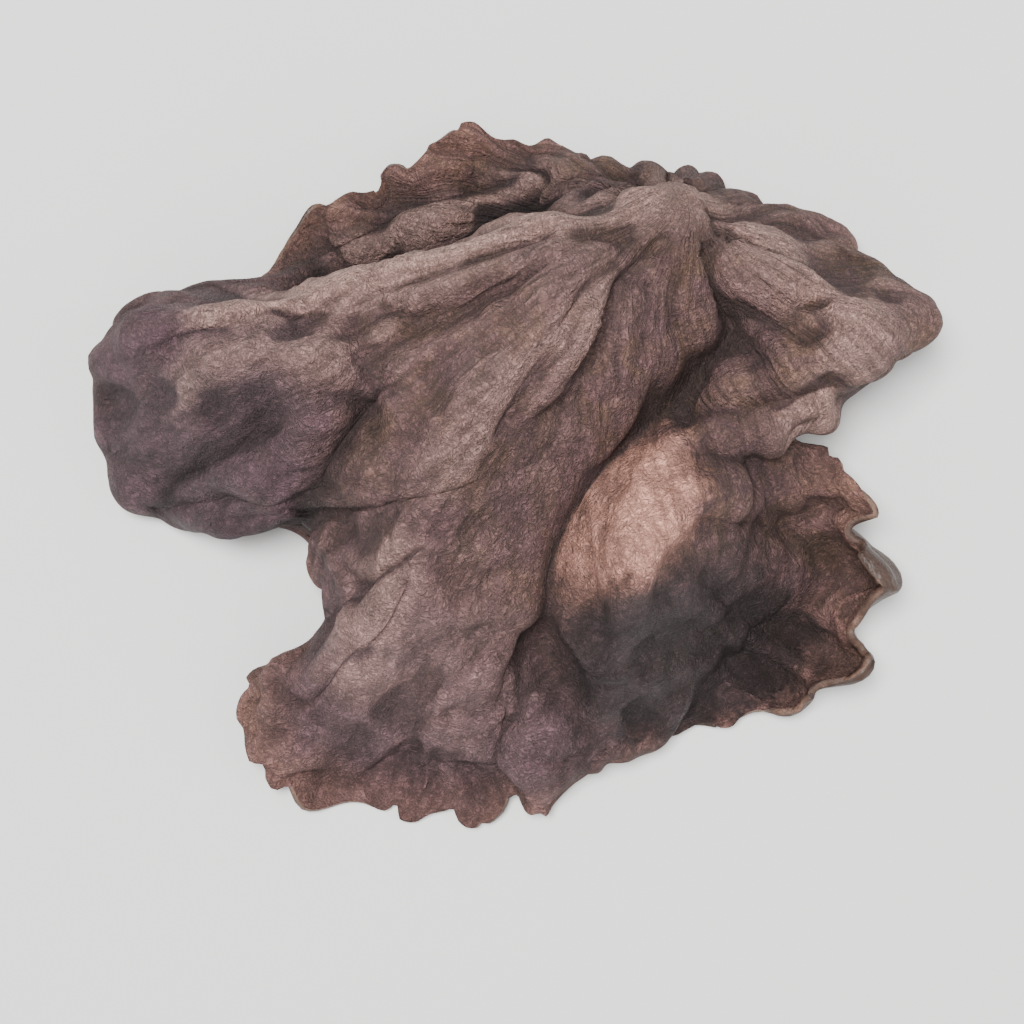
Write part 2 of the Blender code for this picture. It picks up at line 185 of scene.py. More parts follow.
def smoothLine(points):
    points = np.asarray(points, float)
    ends = np.vstack([2 * points[0] - points[1], points, 2 * points[-1] - points[-2]])
    curve = []
    for step in np.linspace(0, len(points) - 1, ear["foldSamples"]):
        here = min(int(step), len(points) - 2)
        a, b, c, d = ends[here : here + 4]
        t = step - here
        bend = (2 * a - 5 * b + 4 * c - d) * t**2 + (3 * b - a - 3 * c + d) * t**3
        curve.append(b + ((c - a) * t + bend) / 2)
    return np.array(curve)


def nearLine(plan, line):
    best = np.full(len(plan), np.inf)
    side = np.zeros(len(plan))
    share = np.zeros(len(plan))
    left = np.zeros((len(plan), 2))
    for k in range(len(line) - 1):
        step = line[k + 1] - line[k]
        length = np.linalg.norm(step)
        toPoint = plan - line[k]
        t = np.clip(toPoint @ step / length**2, 0.0, 1.0)
        distance = np.linalg.norm(toPoint - t[:, None] * step, axis=1)
        closer = distance < best
        normal = np.array([-step[1], step[0]]) / length
        best[closer] = distance[closer]
        side[closer] = np.sign(toPoint[closer] @ normal)
        share[closer] = (k + t[closer]) / (len(line) - 1)
        left[closer] = normal
    return best, side, left, share


def ease(x):
    x = np.clip(x, 0.0, 1.0)
    return x * x * (3 - 2 * x)


def foldSheet(plan, foldRadius, lines):
    rise = np.zeros(len(plan))
    lean = np.zeros((len(plan), 2))
    for points, height, leftWidth, rightWidth, leanLeft in lines.values():
        roundness = 2 * abs(height) * foldRadius / (leftWidth + rightWidth)
        distance, side, left, share = nearLine(plan, smoothLine(points))
        width = np.where(side > 0, leftWidth, rightWidth)
        rounded = np.sqrt(distance**2 + roundness**2) - roundness
        strength = np.exp(-rounded / width) * ease(share / ear["foldFade"]) * ease((1 - share) / ear["foldFade"])
        rise += height * strength
        lean += leanLeft * left * strength[:, None]
    return rise, lean


def roundNoise(around, turns, offset):  # varies along the margin and joins up all round
    spots = np.column_stack([np.cos(math.tau * around), np.sin(math.tau * around)]) * turns
    return np.array([noise.noise(Vector((x, y, offset))) for x, y in spots]) / noisePeak


def innerSheet(ring, around, foldRadius, lines):  # ring is 0 in the middle and 1 on the rim line
    line = smoothLoop(around)
    sway = ear["ruffleSway"] * roundNoise(around, ear["ruffleTurns"], 4.0) * ease((ring - 0.4) / 0.6)
    along = smoothLoop(around + 0.002)[:, :2] - line[:, :2]
    along /= np.linalg.norm(along, axis=1)[:, None]
    plan = line[:, :2] * ring[:, None]
    fall = ring ** line[:, 5]
    rise, lean = foldSheet(plan, foldRadius, lines)
    ruffle = ear["ruffleHeight"] * roundNoise(around, ear["ruffleTurns"], 0.0) * ease((ring - 0.35) / 0.65)
    rise *= 1 - (1 - ear["foldAtRim"]) * fall
    lean *= (1 - (1 - ear["leanAtRim"]) * fall)[:, None]
    height = ear["crown"] + (line[:, 2] - ear["crown"]) * fall + rise + ruffle
    return np.column_stack([plan + lean + along * sway[:, None], height])


def smoothRound(values, spread):
    reach = np.arange(-3 * spread, 3 * spread + 1)
    weights = np.exp(-0.5 * (reach / spread) ** 2)
    weights /= weights.sum()
    return sum(w * np.roll(values, k, 0) for w, k in zip(weights, reach))


def unit(vectors):
    return vectors / np.linalg.norm(vectors, axis=-1)[..., None]


def rimFrames():
    around = np.arange(ear["rimSamples"]) / ear["rimSamples"]
    line = innerSheet(np.ones(len(around)), around, ear["foldRadius"], folds)
    inside = innerSheet(np.full(len(around), 0.9), around, ear["foldRadius"], folds)
    along = unit(smoothRound(np.roll(line, -1, 0) - np.roll(line, 1, 0), ear["rimSmoothing"][0]))
    out = smoothRound(line - inside, ear["rimSmoothing"][1])
    up = unit(np.cross(out, along))
    return line, unit(np.cross(along, up)), up


def marginSheet(beyond, around):  # beyond is 0 on the rim line and 1 on the free edge
    table = np.hstack(rimFrames())
    spot = (around % 1.0) * len(table)
    here = spot.astype(int) % len(table)
    part = (spot - spot.astype(int))[:, None]
    place = table[here] * (1 - part) + table[(here + 1) % len(table)] * part
    line = smoothLoop(around)
    turn = np.radians(line[:, 4] + ear["turnChange"] * roundNoise(around, 3.4, 9.0))
    width = line[:, 3] * (1 + ear["widthChange"] * roundNoise(around, 8.0, 12.0))
    points = place[:, :3].copy()
    for k in range(ear["curlSteps"]):
        share = beyond * (k + 0.5) / ear["curlSteps"]
        angle = (turn * share**1.25)[:, None]
        way = np.cos(angle) * place[:, 3:6] - np.sin(angle) * place[:, 6:9]
        points += way * (width * beyond / ear["curlSteps"])[:, None]
    return points


def gridPlaces(square):  # square rings of the grid become rings shaped like the rim
    a, b = square[:, 0], square[:, 1]
    ring = np.maximum(np.abs(a), np.abs(b))
    safe = np.where(ring > 0, ring, 1.0)
    sides = [
        (a >= np.abs(b), b / safe),
        (b >= np.abs(a), 2 - a / safe),
        (-a >= np.abs(b), 4 - b / safe),
        (-b >= np.abs(a), 6 + a / safe),
    ]
    around = np.select([s[0] for s in sides], [s[1] for s in sides]) / 8.0
    return ring, around % 1.0


def evenPlaces(square):  # places on a net of the same sheet that has no kinks along its diagonals
    a, b = square[:, 0], square[:, 1]
    x, y = a * np.sqrt(1 - b**2 / 2), b * np.sqrt(1 - a**2 / 2)
    ring = np.minimum(np.hypot(x, y), 1.0)
    eighths = (np.arctan2(y, x) / math.tau * 8) % 8
    sides = [eighths < 1, eighths < 3, eighths < 5, eighths < 7]
    places = (
        (np.ones_like(ring), eighths),
        (2 - eighths, np.ones_like(ring)),
        (-np.ones_like(ring), 4 - eighths),
        (eighths - 6, -np.ones_like(ring)),
    )
    last = (np.ones_like(ring), eighths - 8)
    return np.column_stack([ring * np.select(sides, [p[k] for p in places], last[k]) for k in (0, 1)])


def sheetPoints(square, foldRadius, lines):
    ring, around = gridPlaces(square)
    share = ear["rimShare"]
    inside = ring <= share
    points = np.empty((len(square), 3))
    points[inside] = innerSheet(ring[inside] / share, around[inside], foldRadius, lines)
    points[~inside] = marginSheet((ring[~inside] - share) / (1 - share), around[~inside])
    return points


def crest(spot):  # sharp crests with broad dips between them
    return 0.45 - math.hypot(noise.noise(spot), ear["crestRounding"]) / noisePeak


def crumple(point, foot, waves, footRise):
    out = 0.0
    for length, height in waves:
        spot = point / length
        coarse = spot * 0.8
        wander = (noise.noise(coarse), noise.noise(coarse + Vector((5.0, 1.0, 0.0))), length)
        out += height * crest(spot + Vector(wander) * 0.7)
    fromFoot = (point - foot).xy
    distance = fromFoot.length
    if distance > 0:
        across = fromFoot / distance * ear["wrinkleTurns"]
        wrinkle = crest(Vector((across.x, across.y, distance * 0.06)))
        out += ear["wrinkleHeight"] * wrinkle * min(1.0, distance / 6.0) * math.exp(-distance / 26.0)
    out += footRise * math.exp(-(((point - foot).length / ear["footRadius"]) ** 4))
    return out


def crossingVerts(obj, count):
    shape = bmesh.new()
    shape.from_object(obj, bpy.context.evaluated_depsgraph_get())
    bmesh.ops.triangulate(shape, faces=shape.faces)
    corners = [{v.index for v in face.verts} for face in shape.faces]
    tree = BVHTree.FromBMesh(shape)
    shape.free()
    found = set()
    for one, other in tree.overlap(tree):
        if one < other and not corners[one] & corners[other]:
            found |= {index % count for index in corners[one] | corners[other]}
    return found


def untangle(obj, rounds, reach):
    bpy.context.view_layer.update()
    for step in range(rounds):
        crossing = crossingVerts(obj, len(obj.data.vertices))
        if not crossing:
            return 0
        shape = bmesh.new()
        shape.from_mesh(obj.data)
        shape.verts.ensure_lookup_table()
        region = {shape.verts[index] for index in crossing}
        for _ in range(reach + step // 6):
            region |= {edge.other_vert(vert) for vert in list(region) for edge in vert.link_edges}
        for _ in range(3):
            bmesh.ops.smooth_vert(
                shape, verts=list(region), factor=0.5, use_axis_x=True, use_axis_y=True, use_axis_z=True
            )
        shape.to_mesh(obj.data)
        shape.free()
        bpy.context.view_layer.update()
    return len(crossing)


def sheetCoords(obj):
    coords = np.empty(len(obj.data.vertices) * 3)
    obj.data.vertices.foreach_get("co", coords)
    return coords.reshape(-1, 3) / mm


def placeSheet(obj, coords):
    obj.data.vertices.foreach_set("co", (coords * mm).ravel())
    obj.data.update()
    bpy.context.view_layer.update()


def level(obj):  # bends the rim until each bearing place is as low as the others
    for _ in range(6):
        skin = obj.evaluated_get(bpy.context.evaluated_depsgraph_get()).data
        lower = np.array([v.co for v in skin.vertices]) / mm
        sheet = sheetCoords(obj)
        for place in ear["bearings"]:
            near = np.linalg.norm(lower[:, :2] - place, axis=1) < ear["bearingReach"]
            away = np.linalg.norm(sheet[:, :2] - place, axis=1) / ear["bearingSpread"]
            share = np.exp(-(away**2) - np.maximum(sheet[:, 2], 0.0) / (cadSize[2] / mm))
            sheet[:, 2] -= lower[near, 2].min() * share
        placeSheet(obj, sheet)


def squeeze(obj):
    sheet = sheetCoords(obj)
    pressed = ear["pressedBelow"] + (sheet[:, 2] - ear["pressedBelow"]) * ear["pressedTo"]
    sheet[:, 2] = np.maximum(sheet[:, 2], pressed)
    placeSheet(obj, sheet)


cadLow, cadHigh = (np.array(corner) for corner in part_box("ear"))
cadSize = cadHigh - cadLow


def makeGrid(cells, net, foldRadius, waves, footRise, lines):  # the sheet before it settles, in millimetres
    shape = bmesh.new()
    bmesh.ops.create_grid(shape, x_segments=cells, y_segments=cells, size=1.0)
    square = np.array([v.co[:2] for v in shape.verts], float)
    points = sheetPoints(net(square), foldRadius, lines)
    foot = Vector(points[np.argmin(np.linalg.norm(points[:, :2] - ear["foot"], axis=1))])
    for vert, point in zip(shape.verts, points):
        vert.co = Vector(point)
    shape.normal_update()
    moved = np.array([v.co + v.normal * crumple(v.co, foot, waves, footRise) for v in shape.verts])
    mesh = bpy.data.meshes.new("ear")
    shape.to_mesh(mesh)
    shape.free()
    mesh.attributes.new("square", "FLOAT_VECTOR", "POINT")
    mesh.attributes["square"].data.foreach_set("vector", np.pad(square, ((0, 0), (0, 1))).ravel())
    return mesh, moved


def fit(points):
    low, high = points.min(0), points.max(0)
    fitted = (points - (low + high) / 2) * (cadSize / mm - ear["sheet"]) / (high - low)
    fitted[:, 2] += cadSize[2] / mm / 2
    return fitted


def addFlesh(obj, thickness):
    flesh = obj.modifiers.new("flesh", "SOLIDIFY")
    flesh.thickness = thickness * mm
    flesh.offset = 0.0
    return flesh


def settle(obj):  # the same steps as the solid, so that both have one shape
    addFlesh(obj, ear["sheet"])
    untangle(obj, 40, 2)
    level(obj)
    squeeze(obj)
    for _ in range(3):
        untangle(obj, 40, 2)
        level(obj)
    untangle(obj, 40, 2)
    skin = obj.evaluated_get(bpy.context.evaluated_depsgraph_get()).data
    outer = np.array([v.co for v in skin.vertices]) / mm
    low, high = outer.min(0), outer.max(0)
    low[2] += 0.4
    middle = np.array([(low[0] + high[0]) / 2, (low[1] + high[1]) / 2, low[2]])
    sheet = (sheetCoords(obj) - middle) * (cadSize / mm) / (high - low)
    obj.modifiers.clear()
    placeSheet(obj, sheet)


# ---- fine shape of the sheet ----

fine = {
    "split": 4,
    "foldRadius": 0.13,
    "crumple": ((8.5, 0.9), (4.6, 0.3)),
    "footRise": 0.8,
    "pleats": {"turns": 9.0, "height": 0.55, "from": 0.6, "full": 2.6, "gone": 12.0},
    "nicks": ((11.0, 0.05), (27.0, 0.035)),
    "apart": 1.0,
    "thickest": 1.15,
    "edgeThickness": 0.42,
}


crispFolds = {  # narrow lines that only the finished skin has
    "edge of the leading ridge": (
        ((9.4, 16.4), (8.6, 15.6), (1.0, 13.2), (-6.2, 10.0), (-12.5, 8.2), (-17.5, 7.6)),
        1.3, 0.7, 0.45, -0.3,
    ),
    "foot of the crease": (
        ((7.0, 17.4), (1.2, 15.4), (-5.4, 12.2), (-10.0, 10.6), (-13.5, 10.4)),
        -2.6, 1.0, 0.8, 0.0,
    ),
    "first pleat by the foot": (
        ((8.2, 15.6), (5.4, 15.9), (2.4, 15.6), (-0.6, 14.6)),
        -0.9, 0.35, 0.35, 0.0,
    ),
    "second pleat by the foot": (
        ((8.0, 16.2), (5.6, 17.4), (2.6, 17.6), (-0.6, 16.8)),
        -1.0, 0.35, 0.35, 0.0,
    ),
    "hollow beside the shoulder": (
        ((12.0, 12.5), (10.8, 8.6), (8.8, 4.6), (5.6, 1.2)),
        -3.2, 1.5, 1.9, 0.0,
    ),
    "crest of the roll": (
        ((10.4, 0.6), (7.2, -2.0), (5.2, -5.6), (5.0, -9.0)),
        1.3, 2.2, 2.2, 0.0,
    ),
    "low side of the flap": (
        ((6.0, 18.2), (0.0, 16.2), (-5.6, 13.8), (-9.6, 12.4), (-13.5, 11.6)),
        -0.9, 0.9, 0.9, 0.0,
    ),
    "bottom of the valley": (
        ((11.4, 11.0), (10.4, 8.0), (7.6, 3.6), (4.2, 0.0), (1.6, -5.5), (1.6, -11.0)),
        -1.4, 0.8, 0.8, 0.0,
    ),
    "edge of the shoulder": (
        ((10.0, 16.0), (13.5, 13.2), (17.0, 9.4), (16.0, 4.8), (12.4, 1.8)),
        1.3, 0.6, 0.6, 0.0,
    ),
    "rib of the middle": (
        ((7.0, 15.0), (3.4, 8.6), (-1.0, 3.6), (-3.6, -3.0)),
        0.7, 0.7, 0.7, 0.0,
    ),
    "rib of the left lobe": (
        ((-4.0, 8.4), (-9.0, 6.0), (-14.0, 5.6), (-18.4, 3.0)),
        0.7, 0.7, 0.7, 0.0,
    ),
    "rib of the lower lobe": (
        ((-5.6, -3.0), (-7.0, -9.0), (-9.6, -14.0)),
        0.8, 0.7, 0.7, 0.0,
    ),
}


def gridOrder(obj):
    square = np.empty(len(obj.data.vertices) * 3)
    obj.data.attributes["square"].data.foreach_get("vector", square)
    square = square.reshape(-1, 3)[:, :2]
    side = int(round(math.sqrt(len(square))))
    cell = np.rint((square + 1) / 2 * (side - 1)).astype(int)
    order = np.empty((side, side), int)
    order[cell[:, 0], cell[:, 1]] = np.arange(len(square))
    spots = np.linspace(-1, 1, side)
    flat = np.stack(np.meshgrid(spots, spots, indexing="ij"), axis=-1)
    return order, flat


def pleats(flat):  # narrow folds that gather at the foot, in millimetres
    fromFoot = flat - np.array(ear["foot"])
    distance = np.linalg.norm(fromFoot, axis=1)
    way = fromFoot / np.maximum(distance, 0.01)[:, None] * fine["pleats"]["turns"]
    rise = np.array([crest(Vector((x, y, far * 0.10))) for (x, y), far in zip(way, distance)])
    near = ease((distance - fine["pleats"]["from"]) / (fine["pleats"]["full"] - fine["pleats"]["from"]))
    return fine["pleats"]["height"] * rise * near * ease(1 - distance / fine["pleats"]["gone"])


def blur(grid, spread):
    reach = np.arange(-3 * spread, 3 * spread + 1)
    weights = np.exp(-0.5 * (reach / spread) ** 2)
    weights /= weights.sum()
    for axis in (0, 1):
        padding = [(0, 0)] * grid.ndim
        padding[axis] = (3 * spread, 3 * spread)
        padded = np.pad(grid, padding, mode="reflect", reflect_type="odd")
        size = grid.shape[axis]
        grid = sum(w * np.take(padded, np.arange(k, k + size), axis) for k, w in enumerate(weights))
    return grid


def outward(points):
    normals = np.cross(np.gradient(points, axis=0), np.gradient(points, axis=1))
    return unit(normals + 1e-12)


def sampleGrid(points, square):  # value of the grid at places from -1 to 1
    side = len(points)
    spot = np.clip((square + 1) / 2 * (side - 1), 0, side - 1.0001)
    cell = spot.astype(int)
    part = (spot - cell)[..., None, :]
    i, j = cell[..., 0], cell[..., 1]
    near = points[i, j] * (1 - part[..., 0]) + points[i + 1, j] * part[..., 0]
    far = points[i, j + 1] * (1 - part[..., 0]) + points[i + 1, j + 1] * part[..., 0]
    return near * (1 - part[..., 1]) + far * part[..., 1]


def flatPlaces(square):  # the sheet as if it were spread flat, in millimetres
    ring, around = gridPlaces(square)
    line = smoothLoop(around)
    share = ear["rimShare"]
    inner = line[:, :2] * np.minimum(ring / share, 1.0)[:, None]
    beyond = np.maximum(ring - share, 0.0) / (1 - share)
    return inner + unit(line[:, :2]) * (beyond * line[:, 3])[:, None]


def placeGrid(obj, order, points):
    coords = np.empty((order.size, 3))
    coords[order.ravel()] = points.reshape(-1, 3)
    placeSheet(obj, coords)


def neighbours():  # pairs of slices that join each point to the next ones along, up and across
    whole = slice(None)
    front, back = slice(None, -1), slice(1, None)
    return (
        ((front, whole), (back, whole)),
        ((whole, front), (whole, back)),
        ((front, front), (back, back)),
        ((back, front), (front, back)),
    )


def meanAround(grid):
    padded = np.pad(grid, ((1, 1), (1, 1), (0, 0)), mode="reflect", reflect_type="odd")
    return (padded[:-2, 1:-1] + padded[2:, 1:-1] + padded[1:-1, :-2] + padded[1:-1, 2:]) / 4


dry = {  # the skin is a little too large for the flesh that shrank under it, so it wrinkles
    "folds": {"across": 0.095, "along": 0.03, "margin": 0.105, "bending": 0.020, "hold": 0.0032, "rounds": 240},
    "creases": {"across": 0.095, "along": 0.05, "margin": 0.05, "bending": 0.0032, "hold": 0.010, "rounds": 140},
    "calm": ((15, 8, 6, 0.85), (-17, 5, 7, 0.45), (5, -2.5, 4.5, 0.85), (-6, -12, 5, 0.4), (8, -9, 5, 0.5), (0, 5, 5, 0.2), (-22, 3, 4, 0.9)),  # x, y, reach and share
    "stretch": 0.42,
    "seed": 0.10,
}


def growth(flat, ring, one, other, amounts):
    way = flat[other] - flat[one]
    middle = (flat[other] + flat[one]) / 2
    fromFoot = unit(middle - np.array(ear["foot"]) + 1e-6)
    fromMiddle = unit(middle + 1e-6)
    length2 = (way**2).sum(-1) + 1e-9
    alongFan = (way * fromFoot).sum(-1) ** 2 / length2
    alongOut = (way * fromMiddle).sum(-1) ** 2 / length2
    rimShare = ease(((ring[one] + ring[other]) / 2 - 0.78) / 0.22)
    grown = amounts["across"] * (1 - alongFan) + amounts["along"] * alongFan
    grown += amounts["margin"] * rimShare * (1 - alongOut) * marginPatches(middle)
    for x, y, reach, share in dry["calm"]:
        away = np.hypot(middle[..., 0] - x, middle[..., 1] - y) / reach
        grown *= 1 - share * np.exp(-(away**2))
    return 1 + grown


def marginPatches(flat):  # some stretches of the margin frill more than others
    values = [noise.noise(Vector((x, y, 3.0))) for x, y in (flat / 6.5).reshape(-1, 2)]
    return np.clip(0.7 + 2.6 * np.array(values), 0.0, 2.2).reshape(flat.shape[:-1])


def wrinkle(base, flat, ring, amounts, fineness):
    seed = np.array([noise.noise(Vector(p) * fineness) for p in base.reshape(-1, 3)]).reshape(ring.shape)
    points = base + outward(base) * (dry["seed"] / fineness * seed)[..., None]
    joins = []
    for one, other in neighbours():
        rest = np.linalg.norm(base[other] - base[one], axis=-1) * growth(flat, ring, one, other, amounts)
        joins.append((one, other, rest))
    for _ in range(amounts["rounds"]):
        push = np.zeros_like(points)
        for one, other, rest in joins:
            gap = points[other] - points[one]
            length = np.linalg.norm(gap, axis=-1)
            step = gap * ((length - rest) / np.maximum(length, 1e-6) * 0.5 * dry["stretch"])[..., None]
            push[one] += step
            push[other] -= step
        points = points + push * 0.5
        moved = points - base
        bend = moved - meanAround(moved)
        moved -= amounts["bending"] * 16 * (bend - meanAround(bend))
        points = base + moved * (1 - amounts["hold"])
    return points


def refine(obj, before):
    order, square = gridOrder(obj)
    change = blur((sheetCoords(obj) - before)[order], 1)  # what settling moved
    side = ear["cells"] * fine["split"] + 1
    lines = folds | crispFolds
    mesh, moved = makeGrid(side - 1, evenPlaces, fine["foldRadius"], fine["crumple"], fine["footRise"], lines)
    obj.data = mesh
    order, square = gridOrder(obj)
    places = evenPlaces(square.reshape(-1, 2))
    ring, around = gridPlaces(places)
    flat = flatPlaces(places).reshape(side, side, 2)
    ringGrid = ring.reshape(side, side)
    points = fit(moved)[order]
    points = points + blur(sampleGrid(change, places.reshape(side, side, 2)), 3)

    pull = np.zeros(len(places))  # ragged edge: the sheet ends a little further in
    for turns, depth in fine["nicks"]:
        pull += depth * np.clip(roundNoise(around, turns, 21.0), 0, 1) ** 1.5
    pull *= ease((ring - 0.82) / 0.18)
    points = sampleGrid(points, square * (1 - pull).reshape(side, side, 1))
    points += outward(points) * pleats(flat.reshape(-1, 2)).reshape(side, side, 1)
    placeGrid(obj, order, points)
    addFlesh(obj, fine["apart"])
    print("points that touch before the wrinkles:", untangle(obj, 14, 1))
    obj.modifiers.clear()
    points = sheetCoords(obj)[order]
    points = wrinkle(points, flat, ringGrid, dry["folds"], 0.9)
    points[..., 2] = np.maximum(points[..., 2], 0.36)  # nothing of the sheet sinks into the floor
    finer = wrinkle(points, flat, ringGrid, dry["creases"], 2.2)
    placeGrid(obj, order, points)
    return order, flat, ringGrid, finer - points


# ---- what the colours follow ----

tints = {  # x, y, reach in millimetres and strength
    "mauve": ((-17, 4, 8, 0.9), (-20, -1, 6, 0.6), (-6, -15, 8, 0.75), (-9, -8, 4, 0.4), (3, -15, 5, 0.4)),
    # pale: partly the felt's paler tone, partly painted light where the middles of the body and the lower lobe are
    # lit
    "pale": ((0, 6, 8, 0.3), (-7, 8, 5, 0.2), (13, 12, 5, 0.15), (-3, -2, 5, 0.2), (-5, -10, 5, 1.0), (-2, -13, 4, 0.5), (3, 10, 4, 0.4), (13, 11, 3, 0.3)),
    "tan": ((5.6, -1.8, 3.2, 1.0), (7.6, 0.0, 2.6, 0.6), (4.8, -4.6, 2.6, 0.7), (18.5, 8, 3.5, 0.2)),
    "dark": ((12.5, -9.5, 6, 1.0), (6.5, -10.5, 4.5, 0.9), (19, 8, 4, 0.25)),
    # the next spots are painted shade on the flap behind the leading ridge and on the lower sides of the lobes, where
    # shade falls
    "paintedShade": ((3, -15, 3, 0.3), (-18, -1, 5, 0.4), (-15, 6, 6, 0.1), (-4, 14.5, 3.5, 0.6), (-8, 13, 3, 0.4), (1, 16, 3, 0.35),
            (-2, -18, 3, 0.2)),
}


lineTints = {  # name of the fold, reach in millimetres and strength
    # pale bands along the ridges: partly the crests' own paler colour, partly a painted highlight
    "paleCrestsAndHighlights": (
        ("edge of the leading ridge", 1.3, 1.0),
        ("edge of the shoulder", 1.8, 0.9),
        ("shoulder ridge", 2.4, 0.5),
        ("flap ridge", 1.2, 0.5),
        ("rib of the middle", 1.0, 0.5),
        ("rib of the left lobe", 1.2, 0.5),
        ("rib of the lower lobe", 1.4, 0.6),
    ),
    # painted shade: dark bands along the creases, the valley and the flap's low side, where shade falls
    "paintedCreaseShade": (
        ("foot of the crease", 1.5, 1.0),
        ("low side of the flap", 1.7, 0.9),
        ("bottom of the valley", 1.0, 0.2),
        ("hollow beside the shoulder", 2.3, 0.6),
        ("left crease", 1.0, 0.7),
        ("lower lobe crease", 0.8, 0.5),
        ("left lobe crease", 1.0, 0.5),
    ),
}


def writeValues(obj, name, order, values):
    data = np.empty(order.size, np.float32)
    data[order.ravel()] = values.ravel()
    obj.data.attributes.new(name, "FLOAT", "POINT")
    obj.data.attributes[name].data.foreach_set("value", data)


def writeTints(obj, order, flat, ring, creases):
    points = sheetCoords(obj)[order] + creases
    normals = outward(points)
    side = len(order)
    heights = {}
    for name, spread, scale in (("fineCrest", 2, 0.20), ("crest", 5, 0.40), ("broadCrest", 13, 1.4)):
        height = ((points - blur(points, spread)) * normals).sum(-1) / scale
        heights[name] = np.clip(height, -1.5, 1.5)
        writeValues(obj, name, order, heights[name])
    raised = (heights["fineCrest"] + heights["crest"]).ravel()
    onSide = {"paleCrestsAndHighlights": ease((raised + 0.2) / 1.2), "paintedCreaseShade": ease((0.6 - raised) / 1.2)}
    valleyAway, valleySide, _, _ = nearLine(flat.reshape(-1, 2), smoothLine(folds["dark valley"][0]))
    beyondValley = ease(valleyAway * valleySide / 0.8 + 0.3).reshape(side, side)
    for name, spots in tints.items():
        amount = np.zeros((side, side))
        for x, y, reach, strength in spots:
            away = np.hypot(points[..., 0] - x, points[..., 1] - y) / reach
            amount += strength * np.exp(-(away**2))
        if name in ("tan", "dark"):  # both stop where the sheet dips into the valley
            amount *= beyondValley
        writeValues(obj, name, order, np.clip(amount, 0, 1))
    plan = flat.reshape(-1, 2)
    waver = np.array([noise.noise_vector(Vector((x, y, 2.0)))[:2] for x, y in plan / 3.0])
    for name, lines in lineTints.items():
        amount = np.zeros(len(plan))
        for fold, reach, strength in lines:
            distance, _, _, along = nearLine(plan + waver * 0.5, smoothLine((folds | crispFolds)[fold][0]))
            fade = ease(along / 0.15) * ease((1 - along) / 0.15)
            amount = np.maximum(amount, strength * fade * np.exp(-((distance / reach) ** 2)))
        writeValues(obj, name, order, (amount * onSide[name]).reshape(side, side))
    writeValues(obj, "edge", order, ease((ring - 0.72) / 0.28))
    fromFoot = flat.reshape(-1, 2) - np.array(ear["foot"])
    distance = np.linalg.norm(fromFoot, axis=1)
    heading = fromFoot / np.maximum(distance, 0.3)[:, None]
    fan = np.column_stack([heading * 10.0, distance * 0.12])
    data = np.empty((order.size, 3), np.float32)
    data[order.ravel()] = fan
    obj.data.attributes.new("fan", "FLOAT_VECTOR", "POINT")
    obj.data.attributes["fan"].data.foreach_set("vector", data.ravel())
    writeValues(obj, "footReach", order, distance.reshape(side, side))


def thicken(obj, order, ring):
    share = 0.76 - (0.76 - fine["edgeThickness"] / fine["thickest"]) * ease((ring - 0.75) / 0.25)
    reach = np.empty(order.size, np.float32)
    obj.data.attributes["footReach"].data.foreach_get("value", reach)
    weights = np.empty(order.size)
    weights[order.ravel()] = share.ravel()
    weights += 0.24 * np.exp(-((reach / 3.0) ** 2))
    group = obj.vertex_groups.new(name="flesh")
    for index, weight in enumerate(weights):
        group.add([index], float(weight), "REPLACE")
    flesh = addFlesh(obj, fine["thickest"])
    flesh.vertex_group = "flesh"


def makeFaces(obj, count, outerLast):  # the felted face, the smooth face and the thin edge between them
    fanGroup, skinGroup = makeFanGroup(), makeLeatherGroup()
    for material in (makeFelt(fanGroup, skinGroup), makeSpawnFace(fanGroup, skinGroup), makeEdge(skinGroup)):
        obj.data.materials.append(material)
    corners = np.empty(len(obj.data.loops), int)
    obj.data.loops.foreach_get("vertex_index", corners)
    onLast = (corners.reshape(-1, 4) >= count).sum(1)
    index = np.where(onLast == (4 if outerLast else 0), 0, np.where(onLast % 4 == 0, 1, 2))
    obj.data.polygons.foreach_set("material_index", index)


# ---- materials ----

def newGroup(name, inputs, outputs):
    tree = bpy.data.node_groups.new(name, "ShaderNodeTree")
    for label, kind, value in inputs:
        socket = tree.interface.new_socket(label, in_out="INPUT", socket_type=kind)
        if value is not None:
            socket.default_value = value
    for label, kind in outputs:
        tree.interface.new_socket(label, in_out="OUTPUT", socket_type=kind)
    return tree, tree.nodes.new("NodeGroupInput"), tree.nodes.new("NodeGroupOutput")


def addNode(tree, kind, **settings):
    made = tree.nodes.new(kind)
    for name, value in settings.items():
        if name in made.inputs.keys():
            made.inputs[name].default_value = value
        else:
            setattr(made, name, value)
    return made


def plug(tree, source, target):
    tree.links.new(source, target)


def calc(tree, operation, a, b=None, clamp=False):
    made = tree.nodes.new("ShaderNodeMath")
    made.operation = operation
    made.use_clamp = clamp
    for socket, value in zip(made.inputs, (a, b)):
        if value is None:
            continue
        if isinstance(value, (int, float)):
            socket.default_value = value
        else:
            tree.links.new(value, socket)
    return made.outputs[0]


def spread(tree, value, low, high, newLow=0.0, newHigh=1.0):
    made = tree.nodes.new("ShaderNodeMapRange")
    made.interpolation_type = "SMOOTHSTEP"
    tree.links.new(value, made.inputs["Value"])
    made.inputs["From Min"].default_value = low
    made.inputs["From Max"].default_value = high
    made.inputs["To Min"].default_value = newLow
    made.inputs["To Max"].default_value = newHigh
    return made.outputs["Result"]


